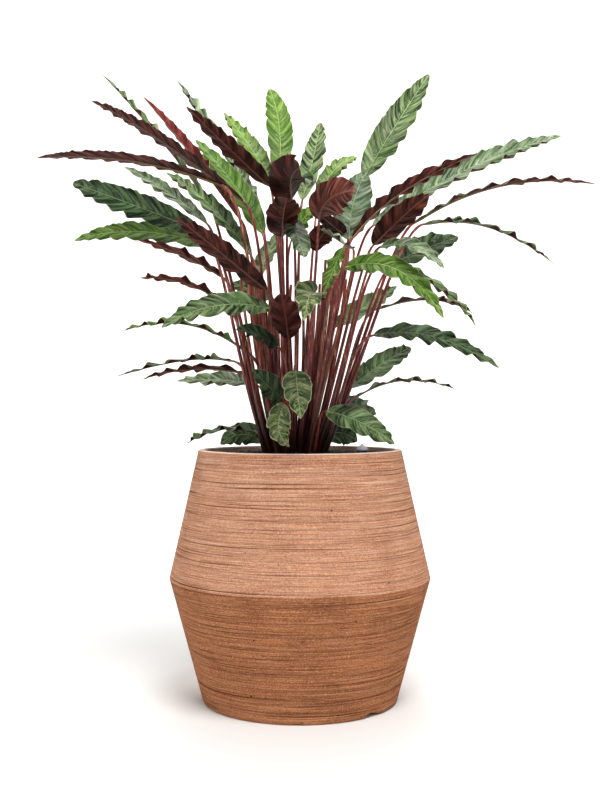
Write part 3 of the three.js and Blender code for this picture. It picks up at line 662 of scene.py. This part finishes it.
# the stalk is a cubic curve that leaves the soil away from the crown and comes into line with the rib
def stalkPath(leaf, t):
    foot, neck = leaf["foot"], leaf["neck"]
    out = np.array([foot[0] - crown["x"], foot[1], crown["depth"]]) / crown["depth"]
    span = np.linalg.norm(neck - foot)
    share, most = stem["into"]
    into = unit(leaf["bow"] - neck) * min(share * span, most)
    p = [foot, foot + unit(out) * 0.5 * span, neck - into, neck]
    s = t[:, None]
    point = (1 - s) ** 3 * p[0] + 3 * s * (1 - s) ** 2 * p[1] + 3 * s ** 2 * (1 - s) * p[2] + s ** 3 * p[3]
    along = (1 - s) ** 2 * (p[1] - p[0]) + 2 * s * (1 - s) * (p[2] - p[1]) + s ** 2 * (p[3] - p[2])
    return point, unit(along), out


# rings of a round tube along a line: circles in the plane of two directions at each of its points
def roundRings(line, radius, first, second):
    angle = fullTurn(stem["sides"])[None, :, None]
    side = np.cos(angle) * first[:, None] + np.sin(angle) * second[:, None]
    return line[:, None] + radius[:, None, None] * side


# stalk and midrib in one tube: thick at the root, a swollen joint (a bell) just below the blade, thin at
# the tip. It is carried as rings whose upper side keeps facing the way the blade does, with how far along
# the tube a point is (0 soil, 1 neck, 2 tip) and how far to its upper side
def stalkRings(leaf):
    t = np.linspace(0, 1, stem["rows"])
    point, along, out = stalkPath(leaf, t)
    normal = np.empty_like(point)
    normal[-1] = ribFrame(leaf, 0.0)[1]
    for i in range(len(t) - 2, -1, -1):
        normal[i] = unit(normal[i + 1] - (normal[i + 1] @ along[i]) * along[i])
    step = np.linalg.norm(np.diff(point, axis=0), axis=1)
    toNeck = np.append(np.cumsum(step[::-1])[::-1], 0)
    neckR = leaf["neckR"]
    radius = leaf["footR"] * (1 + stem["rootSwell"] * (1 - t) ** 2) + (neckR - leaf["footR"]) * t
    radius += stem["jointSwell"] * neckR * np.exp(-(((toNeck - stem["jointAt"]) / stem["jointLong"]) ** 2))
    s = np.linspace(0, stem["ribEnd"], stem["ribRows"] + 1)[1:]
    ribAlong, ribNormal, _ = ribFrame(leaf, s)
    ribR = stem["rib"] + (neckR - stem["rib"]) * (1 - s) ** 1.6
    sunk = np.minimum(1, 20 * s)[:, None] * stem["sunk"] * ribR[:, None]
    point = np.concatenate([point[:1] - out * crown["root"], point, ribPoint(leaf, s) - ribNormal * sunk])
    along = np.concatenate([along[:1], along, ribAlong])
    normal = np.concatenate([normal[:1], normal, ribNormal])
    radius = np.concatenate([radius[:1], radius, ribR])
    reach = np.concatenate([[0], t, 1 + s])
    rings = roundRings(point, radius, normal, np.cross(normal, along))
    shown = np.stack(np.broadcast_arrays(reach[:, None], np.cos(fullTurn(stem["sides"])), 0.0), -1)
    return rings[:, ::-1], shown[:, ::-1]


# upper and lower face of the blade as one closed sheet, a ring of columns round each station
def bladeRings(leaf):
    u = np.linspace(0.004, 0.997, leaf["waves"] * blade["perWave"] + 1)[:, None]
    a = acrossSteps[None, :]
    middle, normal, half, waves = bladePoint(leaf, u, a)
    thick = (blade["edge"] + (blade["middle"] - blade["edge"]) * (1 - abs(a)))[..., None]
    rings = np.concatenate([middle + normal * thick, (middle - normal * thick)[:, ::-1]], 1)
    drawn = np.stack(np.broadcast_arrays(waves, a, half * mm), -1)
    return rings, np.concatenate([drawn, drawn[:, ::-1]], 1)


# closes a flat ring, as long on its lower face as on its upper one, by a row of quads
def flatEnd(first, columns, flip):
    i = np.arange(columns // 2 - 1)
    quads = first + np.stack([i, i + 1, columns - 2 - i, columns - 1 - i], -1)
    return (quads[:, ::-1] if flip else quads).tolist()


# one node's leaves as one mesh. Its materials are the underside, the stalk and each leaf's upper face
def makeLeafNode(node, leaves, materials):
    points, faces, faceMaterial, drawn, shade, reach = [], [], [], [], [], []
    count = 0
    for i, leaf in enumerate(leaves):
        rings, shown = bladeRings(leaf)
        rows, columns = rings.shape[:2]
        column = np.tile(np.arange(columns), rows - 1)
        ends = flatEnd(count, columns, False) + flatEnd(count + (rows - 1) * columns, columns, True)
        faces += tubeFaces(rows, columns, count)[:, ::-1].tolist() + ends
        faceMaterial += np.where(column < columns // 2 - 1, 2 + i, 0).tolist() + [0] * len(ends)
        count += rows * columns
        tube, tubeShown = stalkRings(leaf)
        tubePoints, tubeQuads = closedTube(tube, count)
        faces += tubeQuads
        faceMaterial += [1] * len(tubeQuads)
        count += len(tubePoints)
        points += [rings.reshape(-1, 3), tubePoints]
        drawn += [shown.reshape(-1, 3), tubeShown.reshape(-1, 3), tubeShown[0, :1], tubeShown[-1, :1]]
        reach += [np.repeat(np.linspace(0, 1, rows), columns), np.zeros(len(tubePoints))]
        shade.append(np.full(rows * columns + len(tubePoints), leaf["shade"]))
    values = {"leafMap": drawn, "leafShade": shade, "leafReach": reach}
    values = {key: np.concatenate(parts) for key, parts in values.items()}
    piece = makePiece(node.replace("_", "Blade"), np.concatenate(points) * mm, faces, materials,
                      np.array(faceMaterial), values, sharp=55)
    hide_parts(node)
    return len(faces)


# Living leaf, upper face: waxy cuticle over green tissue. It gives the eye a soft satin gloss, a pale
# midrib, side veins that run well forward, a painted highlight on the crests of the waves and of the low
# pleats with painted shade in their troughs, pink smudges that are a painted reflection, and a thin light
# margin, which some leaves have broader and in cream
leafTones = {
    "dark": {"slot": "leaf_maroon", "base": "#34482a", "deep": "#14210f", "light": "#86a273", "silver": 0.4},
    "brown": {"slot": "leaf_brown", "base": "#3a4d29", "deep": "#192612", "light": "#8fa87a", "silver": 0.4},
    "red": {"slot": "leaf_red", "base": "#5d6f3e", "deep": "#364526", "light": "#9cb07a", "silver": 0.3},
    "deep": {"slot": "leaf_deep_green", "base": "#294224", "deep": "#0c180a", "light": "#8eae7a",
             "silver": 0.6},
    "mid": {"slot": "leaf_green", "base": "#456530", "deep": "#20361a", "light": "#b4cb9a", "silver": 0.65},
    "pale": {"slot": "leaf_silver_green", "base": "#627f51", "deep": "#2c4524", "light": "#cbdabd",
             "silver": 0.8},
    "bright": {"slot": "leaf_bright_green", "base": "#50792a", "deep": "#2f561a", "light": "#a9c774",
               "silver": 0.4},
    "cream": {"slot": "leaf_green", "base": "#48632f", "deep": "#21361a", "light": "#a9b987", "silver": 0.4,
              "vein": "#e6ddb4", "seen": 0.6, "edge": "#e6ddb4", "margin": 1.9 * mm},
}
underTones = {
    "maroon": {"base": "#451d17", "deep": "#190807", "light": "#94574a"},
    "brown": {"base": "#6b3329", "deep": "#341410", "light": "#c08778"},
    "red": {"base": "#7c3630", "deep": "#4c1f1f", "light": "#b9766c"},
}
# bands and fine are changes of a noise in a wave and from edge to edge
veins = {
    "bands": (4.0, 0.7), "fine": (13.0, 1.6), "line": 0.035, "midrib": 0.7 * mm, "margin": 1.1 * mm,
    "rib": "#9cb468", "edge": "#c3cb98", "blushAndReflection": "#96685a", "contrast": 1.15, "patch": (45 * mm, 30 * mm),
    "warp": 22 * mm, "relief": (3.0 * mm, 3.5 * mm), "apart": 40.0,
}


# spreads light and dark apart round one middle colour, which stays as it is
def spread(tree, tint, middle):
    power = veins["contrast"]
    strong = addNode(tree, "Gamma", tint, power)
    gain = max(colour(middle)[:3]) ** (1 - power)
    return addNode(tree, "HueSaturation", Value=gain, Color=strong)


# how light a leaf is: by its leafShade value (own tone and painted shade by height), and from dark at its
# base to lighter past its middle, a painted shade where the leaves crowd at the crown
def lightness(tree, shade, strength, middle):
    reach = addNode(tree, "Attribute", attribute_name="leafReach", out="Fac")
    baseShade = addNode(tree, "MapRange", reach, 0.0, 0.6, 0.72, 1.08)
    own = addNode(tree, "Math", shade, strength, middle, operation="MULTIPLY_ADD")
    return addNode(tree, "Math", own, baseShade, operation="MULTIPLY")


# what the leaf's points carry: waves along, place across from -1 to 1, half width there, and the leaf's
# tint
def leafSockets(tree):
    reader = addNode(tree, "Attribute", attribute_name="leafMap", out="Vector")
    parts = [addNode(tree, "SeparateXYZ", reader, out=i) for i in range(3)]
    shade = addNode(tree, "Attribute", attribute_name="leafShade", out="Fac")
    return *parts, shade, addNode(tree, "TexCoord", out="Object")


# what both faces are drawn with: distances from rib (share of the half width, then length) and edge,
# patches, two sizes of streaks that follow the side veins (a noise that changes fast along and slowly
# across, and differs from leaf to leaf), the crests of the waves, and the low pleats, from -1 to 1, which
# fade in and out over the leaf
def leafPattern(tree, patchSize):
    along, across, half, shade, place = leafSockets(tree)
    off = addNode(tree, "Math", across, operation="ABSOLUTE")
    fromRib = addNode(tree, "Math", off, half, operation="MULTIPLY")
    fromEdge = addNode(tree, "Math", half, fromRib, operation="SUBTRACT")
    patch = addNode(tree, "TexNoise", place, Scale=1 / patchSize, Detail=3.0, Roughness=0.55)
    streaks = []
    for changes in (veins["bands"], veins["fine"]):
        spot = addNode(tree, "CombineXYZ", *(
            addNode(tree, "Math", value, count, operation="MULTIPLY")
            for value, count in zip((along, across, shade), (*changes, veins["apart"]))))
        streaks.append(addNode(tree, "TexNoise", spot, Scale=1.0, Detail=2.0, Roughness=0.6))
    crest, pleat = (
        addNode(tree, "Math",
                addNode(tree, "Math", along, 2 * math.pi * turns, operation="MULTIPLY"), operation="SINE")
        for turns in (1, blade["pleats"]))
    pleat = shownWhere(tree, pleat, (off, 0.0, 0.15), (patch, 0.35, 0.6))
    return shade, off, fromRib, fromEdge, patch, *streaks, crest, pleat


def veinBump(tree, fine, bands, depth):
    relief = addNode(tree, "Math", fine, 0.5, bands, operation="MULTIPLY_ADD")
    return addNode(tree, "Bump", Strength=0.9, Distance=depth, Height=relief)


def makeUpper(name, tone):
    material, tree, shader = newMaterial("waxy upper leaf " + name)
    shade, off, fromRib, fromEdge, patch, bands, fine, crest, pleat = leafPattern(tree, veins["patch"][0])
    place = addNode(tree, "TexCoord", out="Object")
    warp = addNode(tree, "TexNoise", place, Scale=1 / veins["warp"], Detail=2.0, Roughness=0.55)
    light, deep, silver = tone["light"], tone["deep"], tone["silver"]
    tint = layered(
        tree, tone["base"], (1.0, deep, (patch, 0.35, 0.68)),
        (silver, light, (bands, 0.5, 0.72)), (0.38, deep, (bands, 0.5, 0.3)),
        (0.35, light, (fine, 0.52, 0.7)), (0.4, deep, (fine, 0.48, 0.3)),
        # painted shade in the troughs of the waves, painted highlight on their crests, and the same on the
        # low pleats
        (0.38, deep, (crest, 0.1, -0.9), (off, 0.1, 0.8)), (0.3, light, (crest, 0.3, 1.0), (off, 0.0, 0.4)),
        (0.4 * silver, light, (pleat, 0.2, 1.0)), (0.35, deep, (pleat, -0.2, -1.0)))
    tint = spread(tree, tint, tone["base"])
    edge = layered(tree, tone.get("edge", veins["edge"]), (1.0, veins["blushAndReflection"], (patch, 0.52, 0.6)))
    ribTint = layered(tree, light, (0.5, veins["rib"]))
    tint = layered(
        tree, tint,
        (tone.get("seen", 0.5), tone.get("vein", light), (offMiddle(tree, bands), veins["line"], 0.0),
         (off, 1.05, 0.3)),
        # pink smudges between the veins: a painted reflection
        (0.3, veins["blushAndReflection"], (warp, 0.56, 0.7), (fine, 0.5, 0.62)),
        (0.75, edge, (fromEdge, tone.get("margin", veins["margin"]), 0.0)),
        (0.8, ribTint, (fromRib, 1.5 * veins["midrib"], 0.4 * veins["midrib"])))
    hue = addNode(tree, "Math", shade, -0.008, 0.492, operation="MULTIPLY_ADD")
    value = lightness(tree, shade, 0.36, 0.84)
    tinted = addNode(tree, "HueSaturation", Hue=hue, Saturation=1.02, Value=value, Color=tint)
    fillNode(tree, shader, {
        "Base Color": tinted, "Roughness": addNode(tree, "MapRange", fine, 0.0, 1.0, 0.3, 0.52),
        "Normal": veinBump(tree, fine, bands, veins["relief"][0]), "IOR": 1.45, "Specular IOR Level": 0.22})
    return material


# Living leaf, lower face: maroon tissue under short velvet hair. It gives the eye a dull wine red with
# raised side veins, a painted highlight on the ridges where the waves turn and painted shade in the hollows
# between them, the same on the low pleats
def makeUnder(name, tone):
    material, tree, shader = newMaterial("velvety leaf underside " + name)
    shade, off, fromRib, _, patch, bands, fine, crest, pleat = leafPattern(tree, veins["patch"][1])
    light, deep = tone["light"], tone["deep"]
    tint = layered(
        tree, tone["base"], (1.0, deep, (patch, 0.35, 0.7)),
        (0.25, light, (bands, 0.52, 0.7)), (0.35, deep, (bands, 0.48, 0.3)),
        # painted shade in the hollows behind the wave crests and painted highlight on the ridges, then the
        # same on the low pleats
        (0.25, light, (fine, 0.55, 0.72)), (0.45, deep, (crest, 0.3, 1.0), (off, 0.05, 0.5)),
        (0.25, light, (crest, 0.0, -1.0), (off, 0.05, 0.7)),
        (0.2, light, (pleat, 0.5, 1.0)), (0.45, deep, (pleat, 0.1, -0.9)))
    tint = spread(tree, tint, tone["base"])
    tint = layered(tree, tint, (0.4, light, (fromRib, 2 * veins["midrib"], veins["midrib"])))
    value = lightness(tree, shade, 0.45, 0.95)
    fillNode(tree, shader, {
        "Base Color": addNode(tree, "HueSaturation", Value=value, Color=tint), "Roughness": 0.45,
        "Normal": veinBump(tree, fine, bands, veins["relief"][1]), "Specular IOR Level": 0.18})
    return material


# Stalk: ribbed fleshy stem. It gives the eye a glossy red-brown, dark at the soil and paler upwards, with
# light fibres that are partly a painted highlight, and a few olive stalks among the rest; past the neck the
# same tube is the midrib, pale green on the upper side and pinkish brown below
stalk = {
    "root": "#290a08", "low": "#631f19", "high": "#87382c", "light": "#d98f7c", "olive": "#776033",
    "ribUp": "#93a95c", "ribUnder": "#6d382d", "fibre": (2.4 * mm, 91 * mm), "blotch": 35 * mm,
    "apart": 91.0,
}


def makeStalk():
    material, tree, shader = newMaterial("ribbed fleshy stalk")
    reach, side, _, shade, place = leafSockets(tree)
    fibre = drawnNoise(tree, place, stalk["fibre"], 2.0, 0.55)
    scale = 1 / stalk["blotch"]
    blotch = addNode(tree, "TexNoise", place, Scale=scale, Detail=3.0, Roughness=0.55)
    own = addNode(tree, "Math", shade, stalk["apart"], operation="MULTIPLY")
    own = addNode(tree, "Math", own, operation="SINE")  # differs from stalk to stalk
    ribTint = layered(tree, stalk["ribUnder"], (1.0, stalk["ribUp"], (side, -0.15, 0.25)))
    tint = layered(
        tree, stalk["root"], (1.0, stalk["low"], (reach, 0.02, 0.3)),
        (1.0, stalk["high"], (reach, 0.3, 0.85)), (0.35, stalk["olive"], (own, 0.9, 1.0)),
        # pale fibre streaks, partly a painted highlight along each stalk
        (0.55, stalk["light"], (fibre, 0.55, 0.68), (reach, 0.08, 0.4)),
        (0.6, stalk["root"], (fibre, 0.5, 0.3)), (0.45, stalk["root"], (blotch, 0.5, 0.72)),
        (1.0, ribTint, (reach, 0.995, 1.03)))
    value = addNode(tree, "Math", own, 0.3, 1.0, operation="MULTIPLY_ADD")
    fillNode(tree, shader, {
        "Base Color": addNode(tree, "HueSaturation", Value=value, Color=tint), "Roughness": 0.36,
        "Normal": addNode(tree, "Bump", Strength=0.4, Distance=0.3 * mm, Height=fibre),
        "Specular IOR Level": 0.4})
    return material


# stalks whose blades have been cut off, which fill the middle of the bunch: place of each cut end (mm)
bareTops = [
    (22, -60, 612), (31, 20, 640), (39, -32, 652), (47, 40, 648), (52, -62, 638), (13, 64, 650),
    (59, -8, 664), (41, 72, 684), (-14, 30, 640), (-44, 52, 622), (-75, -52, 634), (-93, 40, 650),
    (-81, 30, 640), (-68, 45, 625), (-59, 25, 640), (-49, 50, 600), (-40, 30, 590), (-29, 50, 600),
    (-20, 35, 585), (5, 30, 600), (13, 50, 605), (21, 35, 600), (29, 55, 600), (37, 35, 660),
    (45, 55, 665), (54, 40, 665), (64, 60, 660), (73, 45, 650),
]
bare = {"footR": 3.1, "topR": 2.2, "rows": 24, "bend": 0.04, "reach": 0.85, "apart": 6.6, "rounds": 40}


# each is a quadratic that leaves the soil more upright than it ends, with a flat cut end, as one tube.
# Their feet lie on the line from the spot under the crown to each cut end, pushed clear of the leaves' feet
def makeBareStalks(material, taken):
    tops = np.array(bareTops, float)
    feet = pushApart(towardsCrown(tops) + [crown["x"], 0], taken, bare["apart"], bare["rounds"])
    points, faces, drawn, shade = [], [], [], []
    count = 0
    t = np.linspace(0, 1, bare["rows"])
    s = t[:, None]
    for spot, top in zip(feet, tops):
        foot = np.array([*spot, crown["level"]])
        across = unit(np.cross(top - foot, [0, 1.0, 0]))
        bow = (foot + top) / 2 - across * bare["bend"] * (top - foot)[2] * np.sign(top[0])
        line = (1 - s) ** 2 * foot + 2 * s * (1 - s) * bow + s ** 2 * top
        line = np.concatenate([[foot - [0, 0, crown["root"]]], line])
        along = unit(np.gradient(line, axis=0))
        side = unit(np.cross(along, [0, 1.0, 0]))
        radius = np.append(bare["footR"], bare["footR"] + (bare["topR"] - bare["footR"]) * t)
        tube, quads = closedTube(roundRings(line, radius, side, np.cross(side, along)), count)
        shown = np.zeros((len(tube), 3))
        shown[:-2, 0] = np.repeat(np.append(0, bare["reach"] * t), stem["sides"])
        shown[-1, 0] = bare["reach"]
        points.append(tube)
        faces += [face[::-1] for face in quads]
        drawn.append(shown)
        shade.append(np.full(len(tube), rng.uniform(-0.6, 0.6)))
        count += len(tube)
    values = {"leafMap": np.concatenate(drawn), "leafShade": np.concatenate(shade)}
    points = np.concatenate(points) * mm
    makePiece("bareStalks", points, faces, [material], values=values, sharp=55)


def makeLeaves():
    feet = placeFeet()
    upper = {tone: makeUpper(tone, look) for tone, look in leafTones.items()}
    under = {name: makeUnder(name, look) for name, look in underTones.items()}
    stalkMaterial = makeStalk()
    leaves = [describeLeaf(row, foot) for row, foot in zip(leafRows, feet)]
    total = 0
    for node in dict.fromkeys(leaf["node"] for leaf in leaves):
        members = [leaf for leaf in leaves if leaf["node"] == node]
        below = under.get(members[0]["tone"], under["maroon"])
        above = [upper["cream" if node in creamEdged else leaf["tone"]] for leaf in members]
        total += makeLeafNode(node, members, [below, stalkMaterial, *above])
    makeBareStalks(stalkMaterial, feet)
    print("leaves made,", total, "faces")


# studio: a pale floor that curves up behind into a wall (m)
studio = {"floor": "#f4f4f2", "fibreTint": "#e8e8e4", "fibres": 40.0, "width": 14.0, "front": -5.0,
          "back": 4.0, "bend": 2.0, "wall": 6.0}


# Paper: matt white, rolled. It gives the eye a plain pale ground with a hardly visible cloudiness
def makeStudio():
    material, tree, shader = newMaterial("matt white paper floor")
    place = addNode(tree, "TexCoord", out="Object")
    fibre = addNode(tree, "TexNoise", place, Scale=studio["fibres"], Detail=2.0, Roughness=0.55)
    share = addNode(tree, "Math", fibre, 0.04, operation="MULTIPLY")
    tint = layered(tree, studio["floor"], (share, studio["fibreTint"]))
    fillNode(tree, shader, {"Base Color": tint, "Roughness": 0.9})
    arc = np.radians(np.linspace(0, 90, 19))
    deep = studio["back"] + studio["bend"]
    y = np.concatenate([[studio["front"]], studio["back"] + studio["bend"] * np.sin(arc), [deep]])
    z = np.concatenate([[0], studio["bend"] * (1 - np.cos(arc)), [studio["wall"]]])
    points = np.concatenate([
        np.column_stack([np.full(len(y), side * studio["width"] / 2), y, z]) for side in (-1, 1)])
    i = np.arange(len(y) - 1)
    faces = np.stack([i, i + len(y), i + len(y) + 1, i + 1], -1).tolist()
    mesh = bpy.data.meshes.new("floor")
    mesh.from_pydata(points.tolist(), [], faces)
    mesh.polygons.foreach_set("use_smooth", np.ones(len(faces), bool))
    mesh.materials.append(material)
    floor = bpy.data.objects.new("floor", mesh)
    bpy.context.scene.collection.objects.link(floor)


# lights: place, aim, size (m) and power (W); the two behind only whiten the floor and the wall
lights = {
    "topLight": ((0.7, -2.2, 4.2), (0, 0, 0.5), 2.2, 168.0),
    "sideLight": ((-2.4, -1.8, 1.5), (0, 0, 0.5), 2.0, 10.0),
    "backLight": ((0, 1.7, 3.6), (0, 1.9, 0), 2.0, 45.0),
    "wallLight": ((0, 2.2, 3.4), (0, 6, 1.4), 2.6, 190.0),
}
ambient = 0.45


def makeLights():
    for name, (place, aim, size, power) in lights.items():
        data = bpy.data.lights.new(name, "AREA")
        data.shape = "DISK"
        data.size = size
        data.energy = power
        lamp = bpy.data.objects.new(name, data)
        lamp.location = place
        lamp.rotation_euler = (Vector(aim) - Vector(place)).to_track_quat("-Z", "Y").to_euler()
        bpy.context.scene.collection.objects.link(lamp)
    world = bpy.data.worlds.new("studio")
    bpy.context.scene.world = world
    world.use_nodes = True
    world.node_tree.nodes["Background"].inputs["Color"].default_value = (1.0, 1.0, 1.0, 1.0)
    world.node_tree.nodes["Background"].inputs["Strength"].default_value = ambient
    bpy.context.scene.view_settings.view_transform = "Standard"


makeCamera()
makeStudio()
makeLights()
print("studio made")
makePot(makeClay())
granuleMaterial = makeGranuleMaterial()
makeGranules(granuleMaterial)
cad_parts["soil"].data.materials.clear()
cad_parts["soil"].data.materials.append(granuleMaterial)
makeGauge()
print("pot, granules and gauge made")
makeLeaves()
